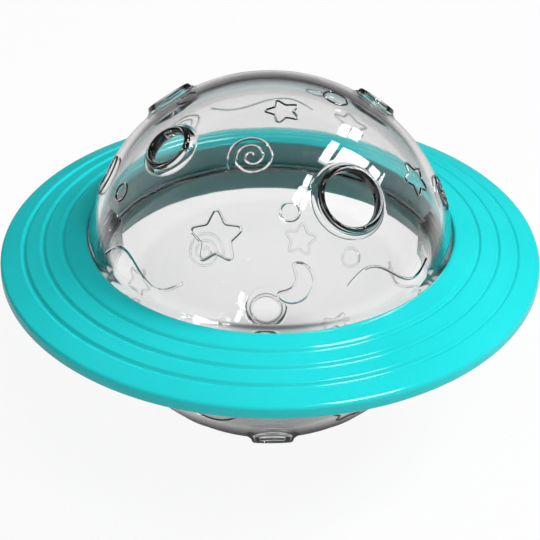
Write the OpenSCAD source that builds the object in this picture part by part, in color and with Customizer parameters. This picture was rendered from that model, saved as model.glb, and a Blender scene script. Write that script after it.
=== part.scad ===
// Treat ball with a flying disc: two clear half shells screw together and clamp the disc at the waist.
// Treats go into the open ball and fall out of the collared holes as the toy rolls.
// The origin is the middle of the flat under the ball, with +Z up and -Y to the front.

/* [Ball] */
// Outer diameter of the ball
ball_d = 123; // [110:1:140]
// Wall thickness of the clear shells
wall_t = 3; // [2.4:0.1:4]
// Diameter of the flat that the ball stands on
foot_d = 30; // [20:1:36]
// Thickness of the floor above that flat
floor_t = 3; // [2:0.1:5]

/* [Disc] */
// Outer diameter of the flying disc
disc_d = 180; // [160:1:220]
// Height of the hub that holds the ball's waist
hub_h = 21; // [18:0.5:26]
// Thickness of the outer rim
rim_t = 5; // [3.6:0.1:8]
// Radius of the rim's edges
rim_round = 1.6; // [0.8:0.1:1.8]
// Bulge of each face above a straight slope
crown = 0.6; // [0.3:0.1:2]
// Number of grooves in each face
groove_count = 3; // [1:1:3]
// Distance from the rim to the outermost groove
groove_margin = 7.9; // [6:0.1:10]
// Distance between neighbouring grooves
groove_pitch = 6.45; // [4:0.05:7]
// Width of a groove
groove_w = 1.9; // [1.2:0.1:2.6]
// Depth of a groove
groove_depth = 0.8; // [0.4:0.1:0.9]
// Thickness of the web that the shells clamp
web_t = 2.4; // [1.6:0.1:4]

/* [Screw lock] */
// Number of thread lugs on each shell
thread_starts = 2; // [2:1:5]
// Rise of the thread in one full turn
thread_lead = 24; // [22:0.5:28]
// Length of each lug around the ball, in degrees
lug_span = 30; // [20:1:45]
// Width of a lug where it stands on its wall
lug_root = 2.6; // [2:0.1:2.8]
// Width of a lug at its crest
lug_crest = 1.6; // [1:0.1:1.8]
// Height of a lug above its wall
lug_depth = 1.5; // [1:0.1:2]
// Thickness of the upper shell's ears, which carry its lugs
ear_t = 2.6; // [2:0.1:3.5]
// Length of an ear below its lug
ear_tail = 0.6; // [0.4:0.1:2]
// Length of an ear past each end of its lug, in degrees
ear_margin = 1.5; // [0.5:0.5:4]
// Thickness of the shoulder that carries an ear
shoulder_t = 2.4; // [1.6:0.1:3.5]

/* [Treat holes] */
// Bore of the large treat hole
large_bore = 18.5; // [14:0.5:20]
// Bore of the medium treat holes
medium_bore = 12.5; // [11:0.5:14]
// Bore of the small treat holes
small_bore = 10; // [9:0.5:12.5]
// Widening of a bore where it opens into the ball
bore_flare = 2; // [0.5:0.1:2.4]
// Width of a collar's wall at its foot
collar_t = 3.6; // [2.6:0.1:4.5]
// Width of a collar's rounded lip
lip_t = 2; // [1.4:0.1:2.4]
// Height of a collar's lip above the ball
collar_rise = 1.6; // [1:0.1:3]

/* [Fits] */
// Gap between neighbouring pieces
fit_gap = 0.3; // [0.2:0.05:0.4]

/* [Hidden] */
$fn = 128;

// The ball: its outside, its hollow, the straight waist inside the hub, and the room there for the disc's web
ball_r = ball_d / 2;
hollow_r = ball_r - wall_t;
waist_r = sqrt(pow(ball_r, 2) - pow(hub_h / 2, 2));
socket_r = waist_r - wall_t;
web_in_r = waist_r - wall_t / 2;
clamp_z = web_t / 2;
foot_z = sqrt(pow(ball_r, 2) - pow(foot_d / 2, 2));

// The screw lock: lugs on the ears run under the lugs in the socket, the first pair on the right-hand side
lug_tip_r = socket_r - fit_gap;
ear_r = lug_tip_r - lug_depth;
ear_in_r = ear_r - ear_t;
lug_rise = thread_lead * lug_span / 360;
lug_sink = 0.7;
lug_steps = 9;
socket_lug_z = -clamp_z - lug_root / 2 - lug_rise - fit_gap;
ear_lug_z = socket_lug_z - (lug_root + lug_crest) / 2 - fit_gap;
ear_end_z = ear_lug_z - lug_root / 2 - ear_tail;
start_step = 360 / thread_starts;
lock_turn = -lug_span / 2;

// The disc: its bore, and the arc of its faces from the hub's edge to the rim's edge
disc_r = disc_d / 2;
hub_r = waist_r + fit_gap;
rim_x = disc_r - rim_round;
rim_z = rim_t / 2 - rim_round;
face_slope = atan((hub_h - rim_t) / 2 / (disc_r - hub_r));
face_in = [hub_r, hub_h / 2];
face_out = [rim_x + rim_round * sin(face_slope), rim_z + rim_round * cos(face_slope)];
face_chord = norm(face_out - face_in);
face_r = (pow(face_chord / 2, 2) + pow(crown, 2)) / (2 * crown);
face_normal = [face_in.y - face_out.y, face_out.x - face_in.x] / face_chord;
face_mid = (face_in + face_out) / 2 - face_normal * (face_r - crown);
groove_r = (pow(groove_w / 2, 2) + pow(groove_depth, 2)) / (2 * groove_depth);

// Treat holes: turn from the front towards +X, angle above the waist, bore
upper_holes = [[35, 45, large_bore], [126, 46, small_bore],
               [-127, 46.5, medium_bore], [-64, 54, medium_bore]];
lower_holes = [[2, -50, small_bore], [92, -50, medium_bore],
               [182, -52, small_bore], [272, -50, medium_bore]];

shell_colour = [0.86, 0.89, 0.9, 0.4];
disc_colour = [0.09, 0.78, 0.78];

// Half section of the ball's wall between two heights, with a step for the disc's web
module wall_section(low, high) {
    difference() {
        intersection() {
            circle(ball_r);
            translate([0, low]) square([waist_r, high - low]);
        }
        intersection() {
            circle(hollow_r);
            translate([0, floor_t - foot_z]) square([socket_r, foot_z + ball_r]);
        }
        translate([web_in_r - fit_gap, -clamp_z]) square([wall_t, web_t]);
    }
}

// Puts its children on a hole's axis, which leaves the ball's centre along +Z
module on_hole(hole) {
    rotate([0, 0, hole[0]]) rotate([90 - hole[1], 0, 0]) children();
}

// Raised collar round a treat hole, from inside the wall to its rounded lip
module collar(bore) {
    bore_r = bore / 2;
    foot_r = bore_r + collar_t;
    skin_z = sqrt(pow(ball_r, 2) - pow(foot_r, 2));
    root_z = (hollow_r + skin_z) / 2;
    lip_z = ball_r + collar_rise - lip_t / 2;
    rotate_extrude() {
        polygon([[bore_r - lip_t / 2, root_z], [foot_r, root_z], [foot_r, skin_z],
                 [bore_r + lip_t, lip_z], [bore_r - lip_t / 2, lip_z]]);
        translate([bore_r + lip_t / 2, lip_z]) circle(lip_t / 2);
    }
}

// Bore of a treat hole, from its flare inside the hollow to past the lip
module hole_bore(bore) {
    bore_r = bore / 2;
    mouth_r = bore_r + bore_flare;
    mouth_z = sqrt(pow(hollow_r, 2) - pow(mouth_r, 2));
    top_z = ball_r + collar_rise + wall_t;
    rotate_extrude()
        polygon([[0, mouth_z - wall_t], [mouth_r + wall_t, mouth_z - wall_t],
                 [bore_r, mouth_z + bore_flare], [bore_r, top_z], [0, top_z]]);
}

// A shell's wall with its collared treat holes
module pierced_wall(low, high, holes) {
    difference() {
        union() {
            rotate_extrude() wall_section(low, high);
            for (hole = holes) on_hole(hole) collar(hole[2]);
        }
        for (hole = holes) on_hole(hole) hole_bore(hole[2]);
    }
}

// Ring of thread lugs: one tapered ridge per start, climbing a helix from wall_r to tip_r
module thread_lugs(wall_r, tip_r, start_z) {
    out = sign(tip_r - wall_r);
    root_r = wall_r - out * lug_sink;
    half = [lug_root / 2, lug_crest / 2];
    outline = [[root_r, -half[0]], [tip_r, -half[1]], [tip_r, half[1]], [root_r, half[0]]];
    section = out > 0 ? outline : [for (i = [3:-1:0]) outline[i]];
    points = [for (step = [0:lug_steps]) let (turn = lug_span * step / lug_steps)
        for (p = section) [p.x * cos(turn), p.x * sin(turn), start_z + p.y + lug_rise * step / lug_steps]];
    last = 4 * lug_steps;
    sides = [for (step = [0:lug_steps - 1]) for (i = [0:3])
        let (a = 4 * step + i, b = 4 * step + (i + 1) % 4)
            each [[a, b, b + 4], [a, b + 4, a + 4]]];
    ends = [[0, 2, 1], [0, 3, 2], [last, last + 1, last + 2], [last, last + 2, last + 3]];
    for (start = [0:thread_starts - 1])
        rotate([0, 0, lock_turn + start * start_step])
            polyhedron(points, concat(sides, ends));
}

// Ears of the upper shell: each hangs from a shoulder that slopes up into the wall, and carries one lug
module ears() {
    wall_x = socket_r + wall_t / 2;
    slope_z = clamp_z + shoulder_t;
    for (start = [0:thread_starts - 1])
        rotate([0, 0, lock_turn - ear_margin + start * start_step])
            rotate_extrude(angle = lug_span + 2 * ear_margin)
                polygon([[ear_in_r, ear_end_z], [ear_r, ear_end_z], [ear_r, clamp_z], [wall_x, clamp_z],
                         [wall_x, slope_z + wall_x - ear_in_r], [ear_in_r, slope_z]]);
}

// Half section of the disc, with its faces bulged, grooved and mirrored about the waist
module disc_section() {
    difference() {
        union() {
            intersection() {
                translate([hub_r, -hub_h / 2]) square([face_out.x - hub_r, hub_h]);
                translate(face_mid) circle(face_r);
                mirror([0, 1]) translate(face_mid) circle(face_r);
            }
            translate([rim_x - rim_round, -rim_z]) square([2 * rim_round, 2 * rim_z]);
            for (side = [-1, 1]) translate([rim_x, side * rim_z]) circle(rim_round);
            translate([web_in_r, -clamp_z]) square([hub_r + web_t - web_in_r, web_t]);
        }
        for (i = [0:groove_count - 1], side = [0, 1]) {
            groove_x = disc_r - groove_margin - i * groove_pitch;
            groove_z = face_mid.y + sqrt(pow(face_r, 2) - pow(groove_x - face_mid.x, 2));
            mirror([0, side])
                translate([groove_x, groove_z + groove_r - groove_depth]) circle(groove_r);
        }
    }
}

module lower_shell() {
    color(shell_colour) translate([0, 0, foot_z]) {
        pierced_wall(-foot_z, -fit_gap / 2, lower_holes);
        thread_lugs(socket_r, ear_r + fit_gap, socket_lug_z);
    }
}

module disc() {
    color(disc_colour) translate([0, 0, foot_z]) rotate_extrude() disc_section();
}

module upper_shell() {
    color(shell_colour) translate([0, 0, foot_z]) {
        pierced_wall(fit_gap / 2, ball_r, upper_holes);
        ears();
        thread_lugs(ear_r, lug_tip_r, ear_lug_z);
    }
}

lower_shell();
disc();
upper_shell();
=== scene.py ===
"""Models a treat ball: two clear half shells that screw together round a grooved flying disc."""

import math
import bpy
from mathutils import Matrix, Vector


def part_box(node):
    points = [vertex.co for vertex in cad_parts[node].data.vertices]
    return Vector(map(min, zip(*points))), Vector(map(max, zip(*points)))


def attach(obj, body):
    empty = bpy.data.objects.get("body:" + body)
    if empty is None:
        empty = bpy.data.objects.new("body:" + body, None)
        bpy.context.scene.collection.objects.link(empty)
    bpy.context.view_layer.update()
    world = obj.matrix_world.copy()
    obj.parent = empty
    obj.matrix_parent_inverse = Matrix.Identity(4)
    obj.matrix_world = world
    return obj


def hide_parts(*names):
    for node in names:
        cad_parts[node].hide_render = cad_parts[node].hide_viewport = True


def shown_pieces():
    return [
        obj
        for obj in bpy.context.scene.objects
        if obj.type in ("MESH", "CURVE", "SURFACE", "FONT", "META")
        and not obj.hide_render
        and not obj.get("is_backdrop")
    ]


bl_info = {
    "name": "Treat Ball",
    "version": (1, 0, 0),
    "blender": (4, 5, 0),
    "location": "View3D > Sidebar > Treat Ball",
    "description": "Models the clear ball, its treat holes and its flying disc",
    "category": "Object",
}

import bpy
from bpy.props import FloatProperty, FloatVectorProperty, IntProperty, PointerProperty
from mathutils import Matrix, Vector

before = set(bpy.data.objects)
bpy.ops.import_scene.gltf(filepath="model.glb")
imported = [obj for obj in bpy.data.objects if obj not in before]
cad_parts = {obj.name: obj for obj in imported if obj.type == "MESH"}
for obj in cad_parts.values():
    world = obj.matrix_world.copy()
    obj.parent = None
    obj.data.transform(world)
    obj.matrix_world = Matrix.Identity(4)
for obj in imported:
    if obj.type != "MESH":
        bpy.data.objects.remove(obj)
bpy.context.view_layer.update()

# Sizes that the frame already holds, in metres, with heights taken from the ball's centre
MM = 0.001
LOWER_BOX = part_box("lower_shell")
DISC_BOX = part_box("disc")
UPPER_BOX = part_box("upper_shell")
CENTRE_Z = (DISC_BOX[0][2] + DISC_BOX[1][2]) / 2
BALL_R = UPPER_BOX[1][2] - CENTRE_Z
DISC_R = (DISC_BOX[1][0] - DISC_BOX[0][0]) / 2
HUB_H = DISC_BOX[1][2] - DISC_BOX[0][2]
PARTING_Z = CENTRE_Z - LOWER_BOX[1][2]
EAR_END_Z = UPPER_BOX[0][2] - CENTRE_Z
FOOT_Z = CENTRE_Z - LOWER_BOX[0][2]

# Fineness of the meshes: segments round a full turn, and the distance under which vertices merge
SHELL_SEGMENTS = 192
DISC_SEGMENTS = 256
HOLE_SEGMENTS = 96
WELD = 0.002 * MM

# Small mouldings of the screw lock: how far a lug's root reaches into its wall, and the rounding of edges
LUG_SINK = 0.7 * MM
LUG_EDGE = 0.25 * MM
EAR_EDGE = 0.4 * MM

# Treat holes: turn from the front towards +X, angle above the waist, and the setting that holds the bore
UPPER_HOLES = [
    (35, 45, "large_bore"),
    (126, 46, "small_bore"),
    (-127, 46.5, "medium_bore"),
    (-64, 54, "medium_bore"),
]
LOWER_HOLES = [
    (2, -50, "small_bore"),
    (92, -50, "medium_bore"),
    (182, -52, "small_bore"),
    (272, -50, "medium_bore"),
]

# Raised line drawings: shape, turn, angle above the waist, size in mm, and roll on the wall in degrees
UPPER_DRAWINGS = [
    ("star", -20, 36, 20, 12),
    ("swell", -46, 19, 36, 8),
    ("crescent", 6, 25, 15, -30),
    ("swell", 42, 20, 34, -6),
    ("spiral", -12, 62, 16, 40),
    ("ring", 8, 45, 6, 0),
    ("star", 74, 38, 14, -14),
    ("spiral", 92, 22, 15, 0),
    ("ring", 100, 70, 8, 0),
    ("star", 148, 26, 16, 8),
    ("ring", 158, 46, 7, 0),
    ("swell", 184, 32, 38, 5),
    ("spiral", 216, 25, 16, 70),
    ("star", 20, 80, 13, 0),
    ("ring", 252, 62, 7, 0),
    ("crescent", 266, 28, 15, 15),
    ("ring", 290, 34, 6, 0),
]
LOWER_DRAWINGS = [
    ("swell", -28, -28, 34, 0),
    ("star", 30, -30, 15, 10),
    ("spiral", 47, -56, 15, 0),
    ("crescent", 66, -28, 14, 25),
    ("swell", 112, -26, 32, 4),
    ("star", 137, -54, 15, -10),
    ("ring", 146, -29, 7, 0),
    ("star", 168, -27, 14, 3),
    ("spiral", 207, -29, 15, 30),
    ("crescent", 227, -55, 14, -20),
    ("star", 243, -28, 14, 0),
    ("ring", 266, -28, 7, 0),
    ("swell", 292, -27, 28, -4),
    ("spiral", 316, -56, 15, 60),
]

# Window panes that the gloss shows: the way to each from the ball, its width and height in metres, and its
# turn about each axis in degrees, tilted so that the round dome shows it with square corners
PANE_DISTANCE = 1.2
PANE_GLOW = 16
WINDOW_PANES = [
    (0.497, 0.598, 0.629, 0.094, 0.216, -27, 65, -35),
    (0.561, 0.607, 0.563, 0.100, 0.196, -37, 58, -39),
    (0.478, 0.265, 0.837, 0.100, 0.422, 3, 53, -18),
    (0.638, 0.256, 0.726, 0.335, 0.366, -5, 62, -23),
    (0.782, 0.288, 0.553, 0.112, 0.164, -29, 61, -32),
    (0.824, 0.297, 0.482, 0.024, 0.261, 173, 76, 151),
    (0.339, -0.171, 0.925, 0.067, 0.193, 22, 35, -8),
    (0.271, -0.334, 0.903, 0.090, 0.204, -6, 41, -21),
    (0.331, -0.384, 0.862, 0.080, 0.234, -28, 64, -23),
]

# Soft lamps that light the colours and stay out of the gloss: name, the way to each from the ball, its side
# in metres, and its power in watts
SOFT_DISTANCE = 1.3
SOFT_LAMPS = [
    ("soft_key", (0.638, 0.08, 0.766), 0.5, 14.6),
    ("soft_front", (0.22, -0.45, 0.866), 0.6, 7.2),
    ("soft_top", (-0.3, 0.2, 0.93), 0.8, 1.8),
]


class ShellSizes(bpy.types.PropertyGroup):
    """Sizes of the two clear shells"""

    ball_r: FloatProperty(
        name="Ball radius", description="Outside of the clear ball",
        default=BALL_R, unit="LENGTH", precision=5)
    wall: FloatProperty(
        name="Wall", description="Thickness of the clear wall",
        default=3 * MM, unit="LENGTH", precision=5)
    floor: FloatProperty(
        name="Floor", description="Thickness above the flat that the ball stands on",
        default=3 * MM, unit="LENGTH", precision=5)
    edge_round: FloatProperty(
        name="Edge rounding", description="Radius of the moulded edges at the waist",
        default=0.45 * MM, unit="LENGTH", precision=5)
    line_w: FloatProperty(
        name="Drawing line", description="Width of a raised line of the drawings",
        default=0.95 * MM, unit="LENGTH", precision=5)
    line_sink: FloatProperty(
        name="Drawing sink", description="How far a raised line's middle lies under the skin",
        default=0.08 * MM, unit="LENGTH", precision=5)


class LockSizes(bpy.types.PropertyGroup):
    """Sizes of the screw lock inside the waist"""

    starts: IntProperty(
        name="Lugs", description="Number of thread lugs on each shell", default=2)
    lead: FloatProperty(
        name="Lead", description="Rise of the thread in one turn",
        default=24 * MM, unit="LENGTH", precision=5)
    span: FloatProperty(
        name="Lug span", description="Length of a lug round the ball",
        default=math.radians(30), subtype="ANGLE")
    root: FloatProperty(
        name="Lug root", description="Width of a lug where it stands on its wall",
        default=2.6 * MM, unit="LENGTH", precision=5)
    crest: FloatProperty(
        name="Lug crest", description="Width of a lug at its crest",
        default=1.6 * MM, unit="LENGTH", precision=5)
    depth: FloatProperty(
        name="Lug depth", description="Height of a lug above its wall",
        default=1.5 * MM, unit="LENGTH", precision=5)
    ear: FloatProperty(
        name="Ear", description="Thickness of the ears that carry the upper shell's lugs",
        default=2.6 * MM, unit="LENGTH", precision=5)
    ear_margin: FloatProperty(
        name="Ear margin", description="Length of an ear past each end of its lug",
        default=math.radians(1.5), subtype="ANGLE")
    shoulder: FloatProperty(
        name="Shoulder", description="Thickness of the shoulder that carries an ear",
        default=2.4 * MM, unit="LENGTH", precision=5)
    web: FloatProperty(
        name="Web", description="Thickness of the disc's web, which the shells clamp",
        default=2.4 * MM, unit="LENGTH", precision=5)
    gap: FloatProperty(
        name="Fit gap", description="Gap between pieces that run on each other",
        default=0.3 * MM, unit="LENGTH", precision=5)


class HoleSizes(bpy.types.PropertyGroup):
    """Sizes of the collared treat holes"""

    large_bore: FloatProperty(
        name="Large bore", description="Bore of the large treat hole",
        default=18.5 * MM, unit="LENGTH", precision=5)
    medium_bore: FloatProperty(
        name="Medium bore", description="Bore of the medium treat holes",
        default=12.5 * MM, unit="LENGTH", precision=5)
    small_bore: FloatProperty(
        name="Small bore", description="Bore of the small treat holes",
        default=10 * MM, unit="LENGTH", precision=5)
    flare: FloatProperty(
        name="Flare", description="Widening of a bore where it opens into the ball",
        default=2 * MM, unit="LENGTH", precision=5)
    collar: FloatProperty(
        name="Collar", description="Width of a collar's wall at its foot",
        default=3.6 * MM, unit="LENGTH", precision=5)
    lip: FloatProperty(
        name="Lip", description="Width of a collar's rounded lip",
        default=2 * MM, unit="LENGTH", precision=5)
    rise: FloatProperty(
        name="Rise", description="Height of a collar's lip above the ball",
        default=1.6 * MM, unit="LENGTH", precision=5)


class DiscSizes(bpy.types.PropertyGroup):
    """Sizes of the flying disc"""

    radius: FloatProperty(
        name="Radius", description="Outside of the rim",
        default=DISC_R, unit="LENGTH", precision=5)
    hub_h: FloatProperty(
        name="Hub height", description="Height of the hub round the ball's waist",
        default=HUB_H, unit="LENGTH", precision=5)
    rim: FloatProperty(
        name="Rim", description="Thickness of the outer rim",
        default=5 * MM, unit="LENGTH", precision=5)
    rim_round: FloatProperty(
        name="Rim rounding", description="Radius of the rim's edges",
        default=1.6 * MM, unit="LENGTH", precision=5)
    crown: FloatProperty(
        name="Crown", description="Bulge of each face above a straight slope",
        default=0.6 * MM, unit="LENGTH", precision=5)
    grooves: IntProperty(
        name="Grooves", description="Number of grooves in each face", default=3)
    groove_margin: FloatProperty(
        name="Groove margin", description="Distance from the rim to the outermost groove",
        default=7.9 * MM, unit="LENGTH", precision=5)
    groove_pitch: FloatProperty(
        name="Groove pitch", description="Distance between neighbouring grooves",
        default=6.45 * MM, unit="LENGTH", precision=5)
    groove_w: FloatProperty(
        name="Groove width", description="Width of a groove at the face",
        default=1.9 * MM, unit="LENGTH", precision=5)
    groove_depth: FloatProperty(
        name="Groove depth", description="Depth of a groove",
        default=0.8 * MM, unit="LENGTH", precision=5)
    edge_round: FloatProperty(
        name="Edge rounding", description="Radius of the hub's and the web's edges",
        default=0.5 * MM, unit="LENGTH", precision=5)


class Finishes(bpy.types.PropertyGroup):
    """Colours and gloss of the two mouldings"""

    clear_tint: FloatVectorProperty(
        name="Clear tint", description="Tint of thick clear plastic, as sRGB",
        default=(0.737, 0.733, 0.722), subtype="COLOR_GAMMA", min=0, max=1)
    clear_density: FloatProperty(
        name="Clear density", description="How fast the tint builds up, per metre of plastic", default=20)
    clear_roughness: FloatProperty(
        name="Clear roughness", description="Roughness of the polished clear wall",
        default=0.015, subtype="FACTOR", min=0, max=1)
    disc_roughness: FloatProperty(
        name="Disc roughness", description="Roughness of the moulded rubber",
        default=0.08, subtype="FACTOR", min=0, max=1)


class StageSettings(bpy.types.PropertyGroup):
    """Place and lens of the camera"""

    distance: FloatProperty(
        name="Distance", description="Camera to the middle of the ball",
        default=0.8, unit="LENGTH")
    elevation: FloatProperty(
        name="Elevation", description="Camera's angle above the waist",
        default=math.radians(32.79), subtype="ANGLE")
    roll: FloatProperty(
        name="Roll", description="Camera's roll about its own axis",
        default=0.0093, subtype="ANGLE")
    lens: FloatProperty(
        name="Lens", description="Focal length on a 36 mm sensor, in millimetres",
        default=159.07)
    aim_low: FloatProperty(
        name="Aim low", description="How far under the ball's centre the camera aims",
        default=5.37 * MM, unit="LENGTH", precision=5)


class TreatBallSettings(bpy.types.PropertyGroup):
    """All settings of the treat ball"""

    shell: PointerProperty(type=ShellSizes)
    lock: PointerProperty(type=LockSizes)
    hole: PointerProperty(type=HoleSizes)
    disc: PointerProperty(type=DiscSizes)
    finish: PointerProperty(type=Finishes)
    stage: PointerProperty(type=StageSettings)


def settings():
    """The treat ball's settings in this file."""
    return bpy.context.scene.treat_ball


def select_only(piece):
    """Selects one piece and makes it the active one."""
    bpy.ops.object.select_all(action="DESELECT")
    piece.select_set(True)
    bpy.context.view_layer.objects.active = piece


def arc(centre, radius, start, end, steps):
    """Points (x, z) on an arc between two angles in radians."""
    points = []
    for step in range(steps + 1):
        angle = start + (end - start) * step / steps
        points.append((centre[0] + radius * math.cos(angle), centre[1] + radius * math.sin(angle)))
    return points


def rounded(corners, steps=4):
    """Outline through corners (x, z) or (x, z, radius), with an arc for each corner that has a radius."""
    points = []
    for index, corner in enumerate(corners):
        here = Vector(corner[:2])
        if len(corner) == 2:
            points.append(tuple(here))
            continue
        before = (Vector(corners[index - 1][:2]) - here).normalized()
        after = (Vector(corners[(index + 1) % len(corners)][:2]) - here).normalized()
        half = before.angle(after) / 2
        centre = here + (before + after).normalized() * corner[2] / math.sin(half)
        first = here + before * corner[2] / math.tan(half) - centre
        last = here + after * corner[2] / math.tan(half) - centre
        for step in range(steps + 1):
            points.append(tuple(centre + first.slerp(last, step / steps).normalized() * corner[2]))
    return points


def edge_chain(name, points):
    """Extrudes one vertex from point to point, which leaves a row of edges."""
    bpy.ops.object.select_all(action="DESELECT")
    bpy.ops.mesh.primitive_plane_add(size=MM, location=(0, 0, 0))
    chain = bpy.context.object
    chain.name = name
    bpy.ops.object.mode_set(mode="EDIT")
    bpy.ops.mesh.merge(type="CENTER")
    bpy.ops.transform.translate(value=points[0])
    here = Vector(points[0])
    for point in points[1:]:
        step = Vector(point) - here
        bpy.ops.mesh.extrude_region_move(TRANSFORM_OT_translate={"value": step})
        here = Vector(point)
    bpy.ops.mesh.select_all(action="SELECT")
    bpy.ops.mesh.remove_doubles(threshold=WELD)
    bpy.ops.object.mode_set(mode="OBJECT")
    return chain


def close_skin(piece):
    """Merges the doubles of a shape, fills any open ends and points its faces outwards."""
    select_only(piece)
    bpy.ops.object.mode_set(mode="EDIT")
    bpy.ops.mesh.select_all(action="SELECT")
    bpy.ops.mesh.remove_doubles(threshold=WELD)
    bpy.ops.mesh.select_all(action="SELECT")
    bpy.ops.mesh.fill_holes(sides=0)
    bpy.ops.mesh.select_all(action="SELECT")
    bpy.ops.mesh.normals_make_consistent(inside=False)
    bpy.ops.object.mode_set(mode="OBJECT")


def lathe(name, outline, segments):
    """Spins an outline (x, z) round the upright axis into one closed skin."""
    piece = edge_chain(name, [(x, 0, z) for x, z in outline])
    bpy.ops.object.mode_set(mode="EDIT")
    bpy.ops.mesh.select_all(action="SELECT")
    bpy.ops.mesh.spin(steps=segments, angle=2 * math.pi, center=(0, 0, 0), axis=(0, 0, 1))
    bpy.ops.object.mode_set(mode="OBJECT")
    close_skin(piece)
    return piece


def apply_modifier(piece, modifier):
    """Applies one modifier of a piece."""
    select_only(piece)
    bpy.ops.object.modifier_apply(modifier=modifier.name)


def combine(piece, tool, operation):
    """Joins a closed shape to a piece, or cuts it away, and deletes the shape."""
    boolean = piece.modifiers.new(operation.lower(), "BOOLEAN")
    boolean.operation = operation
    boolean.solver = "MANIFOLD"
    boolean.object = tool
    apply_modifier(piece, boolean)
    bpy.data.objects.remove(tool)


def place(piece, rotation, height):
    """Turns a shape, lifts it and puts that into its mesh."""
    select_only(piece)
    piece.rotation_euler = rotation
    piece.location = (0, 0, height)
    bpy.ops.object.transform_apply(location=True, rotation=True, scale=True)


def finish_piece(piece, body, node, material):
    """Shades a piece, gives it its finish, and puts it in the place of its CAD node."""
    place(piece, (0, 0, 0), CENTRE_Z)
    bpy.ops.object.shade_smooth_by_angle(angle=math.radians(32))
    piece.data.materials.clear()
    piece.data.materials.append(material)
    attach(piece, body)
    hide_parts(node)


def linear(colour):
    """Linear RGBA of an sRGB hex value, such as 1ED6D7."""
    channels = [int(colour[i:i + 2], 16) / 255 for i in (0, 2, 4)]
    return [c / 12.92 if c <= 0.04045 else ((c + 0.055) / 1.055) ** 2.4 for c in channels] + [1]


def add_node(tree, kind, sockets=None, **options):
    """Adds a shader node, sets its options, and sets each socket to a value or links it to an output."""
    node = tree.nodes.new(kind)
    for name, value in options.items():
        setattr(node, name, value)
    for name, value in (sockets or {}).items():
        if isinstance(value, bpy.types.NodeSocket):
            tree.links.new(value, node.inputs[name])
        else:
            node.inputs[name].default_value = value
    return node


def new_material(name):
    """An empty node material and its tree."""
    material = bpy.data.materials.new(name)
    material.use_nodes = True
    material.node_tree.nodes.clear()
    return material, material.node_tree


def per_mm(size):
    """Scale of a pattern whose features are this many millimetres apart."""
    return 1 / (size * MM)


def clear_polycarbonate():
    """Clear polycarbonate, injection moulded and polished."""
    name = "clear_moulded_polycarbonate"
    if name in bpy.data.materials:
        return bpy.data.materials[name]
    # A hard gloss with the faint waviness of a moulded wall, which bends the highlights a little
    material, tree = new_material(name)
    finish = settings().finish
    tint = "".join(f"{round(c * 255):02X}" for c in finish.clear_tint)
    spot = add_node(tree, "ShaderNodeTexCoord").outputs["Object"]
    # Flow waves of the wall, about 9 mm apart
    flow = add_node(tree, "ShaderNodeTexNoise", {"Vector": spot, "Scale": per_mm(9), "Detail": 1.0})
    wavy = add_node(tree, "ShaderNodeBump", {
        "Height": flow.outputs["Fac"], "Strength": 0.12, "Distance": 0.12 * MM})
    # Faint handling haze, in patches about 20 mm across
    haze = add_node(tree, "ShaderNodeTexNoise", {"Vector": spot, "Scale": per_mm(20), "Detail": 4.0})
    gloss = add_node(tree, "ShaderNodeMapRange", {
        "Value": haze.outputs["Fac"], "From Min": 0.35, "From Max": 0.75,
        "To Min": finish.clear_roughness, "To Max": finish.clear_roughness + 0.03})
    shader = add_node(tree, "ShaderNodeBsdfPrincipled", {
        "Base Color": linear("FFFFFF"), "Roughness": gloss.outputs["Result"], "IOR": 1.585,
        "Transmission Weight": 1.0, "Normal": wavy.outputs["Normal"]})
    # The grey of the plastic itself, which builds up where the eye looks along the wall
    depth = add_node(tree, "ShaderNodeVolumeAbsorption", {
        "Color": linear(tint), "Density": finish.clear_density})
    add_node(tree, "ShaderNodeOutputMaterial", {
        "Surface": shader.outputs["BSDF"], "Volume": depth.outputs["Volume"]})
    return material


def turquoise_rubber():
    """Thermoplastic rubber, injection moulded in turquoise."""
    name = "turquoise_moulded_tpr"
    if name in bpy.data.materials:
        return bpy.data.materials[name]
    # A satin skin: even colour with faint flow tones, a fine spark grain and slightly dulled patches
    material, tree = new_material(name)
    finish = settings().finish
    spot = add_node(tree, "ShaderNodeTexCoord").outputs["Object"]
    # Flow tones, about 40 mm across
    tone = add_node(tree, "ShaderNodeTexNoise", {"Vector": spot, "Scale": per_mm(40), "Detail": 3.0})
    blend = add_node(tree, "ShaderNodeMapRange", {
        "Value": tone.outputs["Fac"], "From Min": 0.3, "From Max": 0.7})
    # Sockets 6 and 7 of a Mix node are its two colours
    colour = add_node(tree, "ShaderNodeMix", {
        0: blend.outputs["Result"], 6: linear("1ECBCE"), 7: linear("24D1D4")}, data_type="RGBA")
    # Spark grain: really about 0.2 mm, drawn at 0.7 mm so that it shows
    grain = add_node(tree, "ShaderNodeTexNoise", {"Vector": spot, "Scale": per_mm(0.7), "Detail": 2.0})
    # Handling marks, in patches about 12 mm across
    marks = add_node(tree, "ShaderNodeTexNoise", {"Vector": spot, "Scale": per_mm(12), "Detail": 5.0})
    gloss = add_node(tree, "ShaderNodeMapRange", {
        "Value": marks.outputs["Fac"], "From Min": 0.35, "From Max": 0.7,
        "To Min": finish.disc_roughness - 0.02, "To Max": finish.disc_roughness + 0.04})
    skin = add_node(tree, "ShaderNodeBump", {
        "Height": grain.outputs["Fac"], "Strength": 0.1, "Distance": 0.05 * MM})
    shader = add_node(tree, "ShaderNodeBsdfPrincipled", {
        "Base Color": colour.outputs[2], "Roughness": gloss.outputs["Result"], "IOR": 1.5,
        "Specular IOR Level": 0.45, "Normal": skin.outputs["Normal"]})
    add_node(tree, "ShaderNodeOutputMaterial", {"Surface": shader.outputs["BSDF"]})
    return material


def waist_radii():
    """Outside and inside of the shells' straight waist."""
    shell = settings().shell
    waist_r = math.sqrt(shell.ball_r ** 2 - (HUB_H / 2) ** 2)
    return waist_r, waist_r - shell.wall


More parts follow.
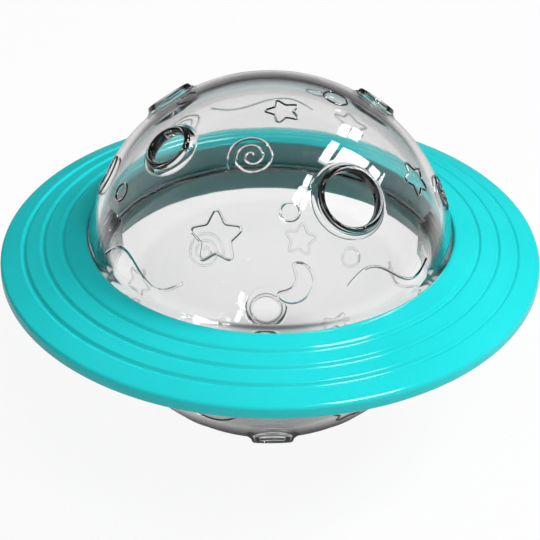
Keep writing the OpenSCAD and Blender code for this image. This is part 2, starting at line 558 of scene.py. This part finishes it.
def web_radius():
    """Inside of the disc's web, halfway through the shells' wall."""
    shell = settings().shell
    return waist_radii()[0] - shell.wall / 2


def ear_radii():
    """Outside and inside of the upper shell's ears."""
    lock = settings().lock
    ear_r = waist_radii()[1] - lock.gap - lock.depth
    return ear_r, ear_r - lock.ear


def lug_heights():
    """Heights at which the lugs of the lower and of the upper shell start."""
    lock = settings().lock
    lower_z = -lock.web / 2 - lock.root / 2 - lock.lead * lock.span / (2 * math.pi) - lock.gap
    return lower_z, lower_z - (lock.root + lock.crest) / 2 - lock.gap


def mouth():
    """Corners of a shell's mouth, from the waist over the step for the disc's web to the socket."""
    shell = settings().shell
    lock = settings().lock
    waist_r, socket_r = waist_radii()
    step_r = web_radius() - lock.gap
    clamp_z = lock.web / 2
    return [(waist_r, clamp_z, shell.edge_round), (step_r, clamp_z),
            (step_r, PARTING_Z, shell.edge_round / 2), (socket_r, PARTING_Z, shell.edge_round / 2)]


def lower_outline():
    """Half section of the lower shell: its outside up to the mouth, then its inside back to the floor."""
    shell = settings().shell
    hollow_r = shell.ball_r - shell.wall
    waist_r, socket_r = waist_radii()
    foot_r = math.sqrt(shell.ball_r ** 2 - FOOT_Z ** 2)
    floor_z = shell.floor - FOOT_Z
    floor_r = math.sqrt(hollow_r ** 2 - floor_z ** 2)
    socket_z = -math.sqrt(hollow_r ** 2 - socket_r ** 2)
    corners = [(0, -FOOT_Z)]
    corners += arc((0, 0), shell.ball_r, math.atan2(-FOOT_Z, foot_r), math.atan2(-HUB_H / 2, waist_r), 56)
    corners += [(x, -z, *edge) for x, z, *edge in mouth()]
    corners += arc((0, 0), hollow_r, math.atan2(socket_z, socket_r), math.atan2(floor_z, floor_r), 56)
    corners += [(0, floor_z)]
    return rounded(corners)


def upper_outline():
    """Half section of the upper shell: its outside down to the mouth, then its inside back to the top."""
    shell = settings().shell
    hollow_r = shell.ball_r - shell.wall
    waist_r, socket_r = waist_radii()
    socket_z = math.sqrt(hollow_r ** 2 - socket_r ** 2)
    corners = arc((0, 0), shell.ball_r, math.pi / 2, math.atan2(HUB_H / 2, waist_r), 68)
    corners += mouth()
    corners += arc((0, 0), hollow_r, math.atan2(socket_z, socket_r), math.pi / 2, 68)
    return rounded(corners)


def swept(name, section, angle, rise, edge):
    """Sweeps a closed section (x, z) round the upright axis with a rise, and rounds its edges."""
    piece = edge_chain(name, [(x, 0, z) for x, z in section + section[:1]])
    screw = piece.modifiers.new("sweep", "SCREW")
    screw.axis = "Z"
    screw.angle = angle
    screw.screw_offset = rise
    screw.steps = 20
    screw.render_steps = 20
    apply_modifier(piece, screw)
    close_skin(piece)
    bevel = piece.modifiers.new("moulded_edges", "BEVEL")
    bevel.width = edge
    bevel.segments = 2
    bevel.limit_method = "ANGLE"
    bevel.angle_limit = math.radians(40)
    apply_modifier(piece, bevel)
    return piece


def ring_of(piece, middle):
    """Turns a swept shape so that its middle lies on the right, and copies it for each thread start."""
    starts = settings().lock.starts
    place(piece, (0, 0, -middle), 0)
    copies = []
    for start in range(1, starts):
        select_only(piece)
        bpy.ops.object.duplicate()
        copies.append(bpy.context.object)
        place(copies[-1], (0, 0, 2 * math.pi * start / starts), 0)
    select_only(piece)
    for copy in copies:
        copy.select_set(True)
    bpy.ops.object.join()
    return piece


def thread_lugs(wall_r, tip_r, start_z):
    """Ring of thread lugs, each a tapered ridge that climbs a helix on its wall."""
    lock = settings().lock
    sink = LUG_SINK if tip_r > wall_r else -LUG_SINK
    section = [(wall_r - sink, start_z - lock.root / 2), (tip_r, start_z - lock.crest / 2),
               (tip_r, start_z + lock.crest / 2), (wall_r - sink, start_z + lock.root / 2)]
    rise = lock.lead * lock.span / (2 * math.pi)
    return ring_of(swept("thread_lug", section, lock.span, rise, LUG_EDGE), lock.span / 2)


def ears():
    """Ring of ears, each hung from a shoulder that slopes up into the upper shell's wall."""
    lock = settings().lock
    ear_r, ear_in_r = ear_radii()
    wall_x = waist_radii()[1] + settings().shell.wall / 2
    clamp_z = lock.web / 2
    slope_z = clamp_z + lock.shoulder
    section = [(ear_in_r, EAR_END_Z), (ear_r, EAR_END_Z), (ear_r, clamp_z), (wall_x, clamp_z),
               (wall_x, slope_z + wall_x - ear_in_r), (ear_in_r, slope_z)]
    angle = lock.span + 2 * lock.ear_margin
    return ring_of(swept("ear", section, angle, 0, EAR_EDGE), angle / 2)


def wall_turn(turn, height):
    """Rotation that takes the top of the ball to a place on its wall."""
    return (math.radians(90 - height), 0, math.radians(turn))


def collar_outline(bore):
    """Section of a collar: a sleeve that flares into the ball and ends outside in a rounded lip."""
    shell = settings().shell
    hole = settings().hole
    bore_r = bore / 2
    mouth_r = bore_r + hole.flare
    foot_r = bore_r + hole.collar
    hollow_r = shell.ball_r - shell.wall
    lip_r = hole.lip / 2
    lip_z = shell.ball_r + hole.rise - lip_r

    def skin_z(radius, reach):
        return math.sqrt(radius ** 2 - reach ** 2)

    # The sleeve's outside, sunk in the wall
    mouth_z = skin_z(hollow_r, mouth_r)
    sunk_r = mouth_r + 1.1 * MM
    corners = [(sunk_r, skin_z(hollow_r, sunk_r) + 0.2 * MM)]
    corners += [(foot_r + 0.1 * MM, skin_z(shell.ball_r, foot_r) - 1.2 * MM)]
    # A soft cove from the wall's skin up to the lip
    foot = Vector((foot_r + 0.3 * MM, skin_z(shell.ball_r, foot_r + 0.3 * MM) - 0.06 * MM))
    top = Vector((bore_r + hole.lip, lip_z))
    pull = Vector((bore_r + hole.lip + 0.6 * MM, skin_z(shell.ball_r, foot_r) + 0.35 * MM))
    for step in range(9):
        share = step / 8
        corners.append(tuple(foot.lerp(pull, share).lerp(pull.lerp(top, share), share)))
    # The rounded lip, then down the bore to its flare
    corners += arc((bore_r + lip_r, lip_z), lip_r, 0, math.pi, 10)[1:]
    corners += [(bore_r, mouth_z + hole.flare, 1.2 * MM), (mouth_r, mouth_z, 0.3 * MM)]
    points = rounded(corners)
    return points + points[:1]


def cut_holes(piece, holes):
    """Cuts the treat holes through a shell's wall and sets a collar in each."""
    shell = settings().shell
    for turn, height, bore_name in holes:
        bore = getattr(settings().hole, bore_name)
        drill_r = bore / 2 + settings().hole.flare + 0.6 * MM
        low = shell.ball_r - 3 * shell.wall
        high = shell.ball_r + shell.wall
        drill = lathe("hole_drill", [(0, low), (drill_r, low), (drill_r, high), (0, high)], HOLE_SEGMENTS)
        place(drill, wall_turn(turn, height), 0)
        combine(piece, drill, "DIFFERENCE")
        collar = lathe("hole_collar", collar_outline(bore), HOLE_SEGMENTS)
        place(collar, wall_turn(turn, height), 0)
        combine(piece, collar, "UNION")


def star_path(size):
    """Five-pointed star with its points rounded off."""
    corners = []
    for index in range(10):
        reach = size / 2 * (1 if index % 2 == 0 else 0.5)
        angle = math.pi / 2 + math.pi * index / 5
        corners.append((reach * math.cos(angle), reach * math.sin(angle), 0.06 * size))
    return rounded(corners), True


def ring_path(size):
    """Circle."""
    return arc((0, 0), size / 2, 0, 2 * math.pi, 40)[:-1], True


def crescent_path(size):
    """Crescent: an oval bent round an arc, so its tips stay round."""
    points = []
    for step in range(72):
        angle = 2 * math.pi * step / 72
        reach = size * (0.34 + 0.19 * math.sin(angle))
        turn = math.radians(100) * math.cos(angle)
        points.append((reach * math.cos(turn), reach * math.sin(turn)))
    return points, True


def spiral_path(size):
    """Spiral of two and a half turns."""
    points = []
    for step in range(91):
        share = step / 90
        reach = size / 2 * (0.1 + 0.9 * share)
        angle = 5 * math.pi * share
        points.append((reach * math.cos(angle), reach * math.sin(angle)))
    return points, False


def swell_path(size):
    """Long line that swells once up and once down."""
    points = []
    for step in range(61):
        share = step / 60
        points.append((size * (share - 0.5), 0.12 * size * math.sin(2 * math.pi * share)))
    return points, False


DRAWING_PATHS = {
    "star": star_path,
    "ring": ring_path,
    "crescent": crescent_path,
    "spiral": spiral_path,
    "swell": swell_path,
}


def wrap_on_ball(line, radius):
    """Bends a flat drawing onto the ball's top: its distance from the middle becomes an arc."""
    for vertex in line.data.vertices:
        flat = Vector(vertex.co[:2])
        angle = flat.length / radius
        reach = radius + vertex.co.z
        side = flat.normalized() * reach * math.sin(angle)
        vertex.co = (side.x, side.y, reach * math.cos(angle))


def raise_drawings(piece, drawings):
    """Raises the line drawings on a shell's wall as half-round ridges."""
    shell = settings().shell
    for shape, turn, height, size, roll in drawings:
        path, closed = DRAWING_PATHS[shape](size * MM)
        points = [(x, y, -shell.line_sink) for x, y in path]
        line = edge_chain("raised_line", points + points[:1] if closed else points)
        bpy.ops.object.convert(target="CURVE")
        line.data.dimensions = "3D"
        line.data.bevel_depth = shell.line_w / 2
        line.data.bevel_resolution = 2
        line.data.use_fill_caps = True
        bpy.ops.object.convert(target="MESH")
        close_skin(line)
        place(line, (0, 0, math.radians(roll)), 0)
        wrap_on_ball(line, shell.ball_r)
        place(line, wall_turn(turn, height), 0)
        combine(piece, line, "UNION")


def disc_outline():
    """Section of the disc: crowned and grooved faces, rounded rim, bored hub and clamping web."""
    disc = settings().disc
    hub_r = waist_radii()[0] + settings().lock.gap
    rim_x = disc.radius - disc.rim_round
    rim_z = disc.rim / 2 - disc.rim_round
    slope = math.atan((disc.hub_h - disc.rim) / 2 / (disc.radius - hub_r))
    inner = Vector((hub_r, disc.hub_h / 2))
    outer = Vector((rim_x + disc.rim_round * math.sin(slope), rim_z + disc.rim_round * math.cos(slope)))
    chord = outer - inner
    face_r = ((chord.length / 2) ** 2 + disc.crown ** 2) / (2 * disc.crown)
    normal = Vector((-chord.y, chord.x)) / chord.length
    middle = (inner + outer) / 2 - normal * (face_r - disc.crown)
    grooves = [disc.radius - disc.groove_margin - i * disc.groove_pitch for i in range(disc.grooves)]
    # Half a groove with its rolled edges, which reach a little past its width
    half = 0.62 * disc.groove_w

    def face_z(x):
        dip = 0
        for groove in grooves:
            share = min(abs(x - groove) / half, 1)
            dip = max(dip, disc.groove_depth * (0.5 + 0.5 * math.cos(math.pi * share)) ** 0.8)
        return middle.y + math.sqrt(face_r ** 2 - (x - middle.x) ** 2) - dip

    # Points along the face lie close together in the grooves and further apart between them
    stops = [hub_r + 2.5 * MM]
    while stops[-1] < outer.x - 1.4 * MM:
        painted_light_pool = min(abs(stops[-1] - groove) for groove in grooves)
        stops.append(stops[-1] + (0.12 * MM if painted_light_pool < half + 0.3 * MM else 0.7 * MM))
    face = [(x, face_z(x)) for x in stops]
    rim = arc((rim_x, rim_z), disc.rim_round, math.pi / 2 - slope, 0, 7)
    top = [(hub_r, disc.hub_h / 2, 2 * disc.edge_round)] + face + rim
    bottom = [(corner[0], -corner[1]) + corner[2:] for corner in reversed(top)]
    clamp_z = settings().lock.web / 2
    web_r = web_radius()
    web = [(hub_r, -clamp_z, disc.edge_round), (web_r, -clamp_z, disc.edge_round),
           (web_r, clamp_z, disc.edge_round), (hub_r, clamp_z, disc.edge_round)]
    points = rounded(top + bottom + web)
    return points + points[:1]


class TREATBALL_OT_disc(bpy.types.Operator):
    """Turns the flying disc with its grooves, rim, hub and web"""

    bl_idname = "treatball.disc"
    bl_label = "Flying disc"

    def execute(self, context):
        piece = lathe("flying_disc", disc_outline(), DISC_SEGMENTS)
        finish_piece(piece, "disc", "disc", turquoise_rubber())
        return {"FINISHED"}


class TREATBALL_OT_lower_shell(bpy.types.Operator):
    """Turns the lower shell and adds its thread lugs, treat holes and raised drawings"""

    bl_idname = "treatball.lower_shell"
    bl_label = "Lower shell"

    def execute(self, context):
        piece = lathe("clear_lower_shell", lower_outline(), SHELL_SEGMENTS)
        tip_r = ear_radii()[0] + settings().lock.gap
        combine(piece, thread_lugs(waist_radii()[1], tip_r, lug_heights()[0]), "UNION")
        cut_holes(piece, LOWER_HOLES)
        raise_drawings(piece, LOWER_DRAWINGS)
        finish_piece(piece, "lower_shell", "lower_shell", clear_polycarbonate())
        return {"FINISHED"}


class TREATBALL_OT_upper_shell(bpy.types.Operator):
    """Turns the upper shell and adds its ears, thread lugs, treat holes and raised drawings"""

    bl_idname = "treatball.upper_shell"
    bl_label = "Upper shell"

    def execute(self, context):
        piece = lathe("clear_upper_shell", upper_outline(), SHELL_SEGMENTS)
        tip_r = waist_radii()[1] - settings().lock.gap
        combine(piece, ears(), "UNION")
        combine(piece, thread_lugs(ear_radii()[0], tip_r, lug_heights()[1]), "UNION")
        cut_holes(piece, UPPER_HOLES)
        raise_drawings(piece, UPPER_DRAWINGS)
        finish_piece(piece, "upper_shell", "upper_shell", clear_polycarbonate())
        return {"FINISHED"}


def studio_floor():
    """White paper floor: white to the eye, with the ball's shadow on it; in the gloss and through the clear
    wall it glows with painted light round the ball and painted shade right under it.
    """
    material, tree = new_material("white_paper_floor")
    path = add_node(tree, "ShaderNodeLightPath")
    spot = add_node(tree, "ShaderNodeTexCoord").outputs["Object"]
    reach = add_node(tree, "ShaderNodeVectorMath", {0: spot}, operation="LENGTH")
    # Painted light: in the gloss and through the clear wall the floor's glow is full round the ball and
    # fades to a quarter further out
    painted_light_pool = add_node(tree, "ShaderNodeMapRange", {
        "Value": reach.outputs["Value"], "From Min": 0.35, "From Max": 0.7,
        "To Min": 1.0, "To Max": 0.25}, interpolation_type="SMOOTHSTEP")
    # Painted shade right under the ball: the floor's glow darkens there in its material, not as a cast
    # shadow
    painted_shade_under_ball = add_node(tree, "ShaderNodeMapRange", {
        "Value": reach.outputs["Value"], "From Min": 0.03, "From Max": 0.055,
        "To Min": 0.14, "To Max": 1.0}, interpolation_type="SMOOTHSTEP")
    # Painted light and shade of the floor's glow as the gloss and the clear wall see it: the pool of light
    # times the shade under the ball
    painted_floor_glow = add_node(tree, "ShaderNodeMath", {
        0: painted_light_pool.outputs["Result"], 1: painted_shade_under_ball.outputs["Result"]}, operation="MULTIPLY")
    # The gloss shows the paper dimmer than the clear wall lets it through
    dull = add_node(tree, "ShaderNodeMath", {
        0: path.outputs["Is Reflection Ray"], 1: -0.4, 2: 1.0}, operation="MULTIPLY_ADD")
    painted_floor_glow = add_node(tree, "ShaderNodeMath", {0: painted_floor_glow.outputs[0], 1: dull.outputs[0]}, operation="MULTIPLY")
    # Strength of the floor's glow: plain white to the eye, and the painted light and shade for the other
    # rays
    white = add_node(tree, "ShaderNodeMath", {
        0: painted_floor_glow.outputs[0], 1: path.outputs["Is Camera Ray"]}, operation="MAXIMUM")
    seen = add_node(tree, "ShaderNodeMath", {
        0: path.outputs["Is Camera Ray"], 1: path.outputs["Is Glossy Ray"]}, operation="MAXIMUM")
    seen = add_node(tree, "ShaderNodeMath", {
        0: seen.outputs[0], 1: path.outputs["Is Transmission Ray"]}, operation="MAXIMUM")
    share = add_node(tree, "ShaderNodeMath", {0: seen.outputs[0], 1: 0.92}, operation="MULTIPLY")
    paper = add_node(tree, "ShaderNodeBsdfDiffuse", {"Color": linear("D8D8D8")})
    glow = add_node(tree, "ShaderNodeEmission", {"Color": linear("FFFFFF"), "Strength": white.outputs[0]})
    mixed = add_node(tree, "ShaderNodeMixShader", {
        0: share.outputs[0], 1: paper.outputs[0], 2: glow.outputs[0]})
    add_node(tree, "ShaderNodeOutputMaterial", {"Surface": mixed.outputs[0]})
    return material


def studio_world():
    """White to the eye; for light and reflections a dark room that is lighter on the front's side."""
    world = bpy.data.worlds.new("studio")
    world.use_nodes = True
    tree = world.node_tree
    tree.nodes.clear()
    path = add_node(tree, "ShaderNodeLightPath")
    way = add_node(tree, "ShaderNodeTexCoord").outputs["Generated"]
    split = add_node(tree, "ShaderNodeSeparateXYZ", {0: way})
    dim = add_node(tree, "ShaderNodeMapRange", {
        "Value": split.outputs["Y"], "From Min": 0.3, "From Max": -0.8, "To Min": 0.06, "To Max": 0.28},
        interpolation_type="SMOOTHSTEP")
    level = add_node(tree, "ShaderNodeMath", {
        0: dim.outputs["Result"], 1: path.outputs["Is Camera Ray"]}, operation="MAXIMUM")
    sky = add_node(tree, "ShaderNodeBackground", {
        "Color": linear("FFFFFF"), "Strength": level.outputs[0]})
    add_node(tree, "ShaderNodeOutputWorld", {"Surface": sky.outputs[0]})
    return world


def area_lamp(name, toward, distance, size, roll, power, in_gloss):
    """Rectangular soft lamp that faces the ball, for gloss alone or for everything but gloss."""
    spot = Vector((0, 0, CENTRE_Z)) + toward.normalized() * distance
    bpy.ops.object.light_add(type="AREA", location=spot)
    lamp = bpy.context.object
    lamp.name = name
    turn = toward.to_track_quat("Z", "Y").to_matrix() @ Matrix.Rotation(roll, 3, "Z")
    lamp.rotation_euler = turn.to_euler()
    lamp.data.shape = "RECTANGLE"
    lamp.data.size = size[0]
    lamp.data.size_y = size[1]
    lamp.data.energy = power
    lamp.visible_camera = False
    lamp.visible_glossy = in_gloss
    lamp.visible_transmission = in_gloss
    lamp.visible_diffuse = not in_gloss
    return lamp


class TREATBALL_OT_stage(bpy.types.Operator):
    """Lays the white floor, sets the lamps and aims the camera"""

    bl_idname = "treatball.stage"
    bl_label = "Stage"

    def execute(self, context):
        stage = settings().stage
        scene = context.scene
        centre = Vector((0, 0, CENTRE_Z))
        bpy.ops.mesh.primitive_plane_add(size=8, location=(0, 0, 0))
        floor = context.object
        floor.name = "studio_floor"
        floor.data.materials.append(studio_floor())
        floor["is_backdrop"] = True
        scene.world = studio_world()

        # Gloss alone shows the window panes on the clear wall, and a skylight in the disc's grooves
        shells = bpy.data.collections.new("clear_shells")
        discs = bpy.data.collections.new("discs")
        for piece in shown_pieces():
            group = shells if piece.name.startswith("clear_") else discs
            group.objects.link(piece)
        for x, y, z, width, height, *turn in WINDOW_PANES:
            toward = Vector((x, y, z))
            power = PANE_GLOW * math.pi * width * height
            pane = area_lamp("window_pane", toward, PANE_DISTANCE, (width, height), 0, power, True)
            pane.rotation_euler = [math.radians(angle) for angle in turn]
            pane.light_linking.receiver_collection = shells
        skylight = area_lamp("skylight", Vector((0.36, -0.12, 0.92)), PANE_DISTANCE, (0.35, 0.6),
                             math.radians(-51), 10, True)
        skylight.light_linking.receiver_collection = discs
        for name, toward, side, power in SOFT_LAMPS:
            area_lamp(name, Vector(toward), SOFT_DISTANCE, (side, side), 0, power, False)

        sight = Vector((0, -math.cos(stage.elevation), math.sin(stage.elevation)))
        rise = Vector((0, math.sin(stage.elevation), math.cos(stage.elevation)))
        spot = centre + sight * stage.distance
        aim = centre - rise * stage.aim_low
        bpy.ops.object.camera_add(location=spot)
        camera = context.object
        turn = (aim - spot).to_track_quat("-Z", "Y").to_matrix() @ Matrix.Rotation(stage.roll, 3, "Z")
        camera.rotation_euler = turn.to_euler()
        camera.data.lens = stage.lens
        camera.data.sensor_width = 36
        camera.data.clip_end = 50
        scene.camera = camera
        scene.view_settings.view_transform = "Standard"
        return {"FINISHED"}


class TREATBALL_PT_panel(bpy.types.Panel):
    """Lists the treat ball's steps and settings"""

    bl_idname = "TREATBALL_PT_panel"
    bl_label = "Treat ball"
    bl_space_type = "VIEW_3D"
    bl_region_type = "UI"
    bl_category = "Treat Ball"

    def draw(self, context):
        layout = self.layout
        for operator in OPERATORS:
            layout.operator(operator.bl_idname)
        for group_name in ("shell", "lock", "hole", "disc", "finish", "stage"):
            group = getattr(context.scene.treat_ball, group_name)
            box = layout.box()
            box.label(text=group.bl_rna.description)
            for name in group.bl_rna.properties.keys():
                if name not in ("rna_type", "name"):
                    box.prop(group, name)


OPERATORS = (TREATBALL_OT_disc, TREATBALL_OT_lower_shell, TREATBALL_OT_upper_shell, TREATBALL_OT_stage)
GROUPS = (ShellSizes, LockSizes, HoleSizes, DiscSizes, Finishes, StageSettings, TreatBallSettings)


def register():
    """Adds the classes and the settings to Blender."""
    for item in GROUPS + OPERATORS + (TREATBALL_PT_panel,):
        bpy.utils.register_class(item)
    bpy.types.Scene.treat_ball = PointerProperty(type=TreatBallSettings)


def unregister():
    """Takes the settings and the classes out again."""
    del bpy.types.Scene.treat_ball
    for item in reversed(GROUPS + OPERATORS + (TREATBALL_PT_panel,)):
        bpy.utils.unregister_class(item)


def main():
    register()
    bpy.ops.treatball.disc()
    bpy.ops.treatball.lower_shell()
    bpy.ops.treatball.upper_shell()
    bpy.ops.treatball.stage()


if __name__ == "__main__":
    main()
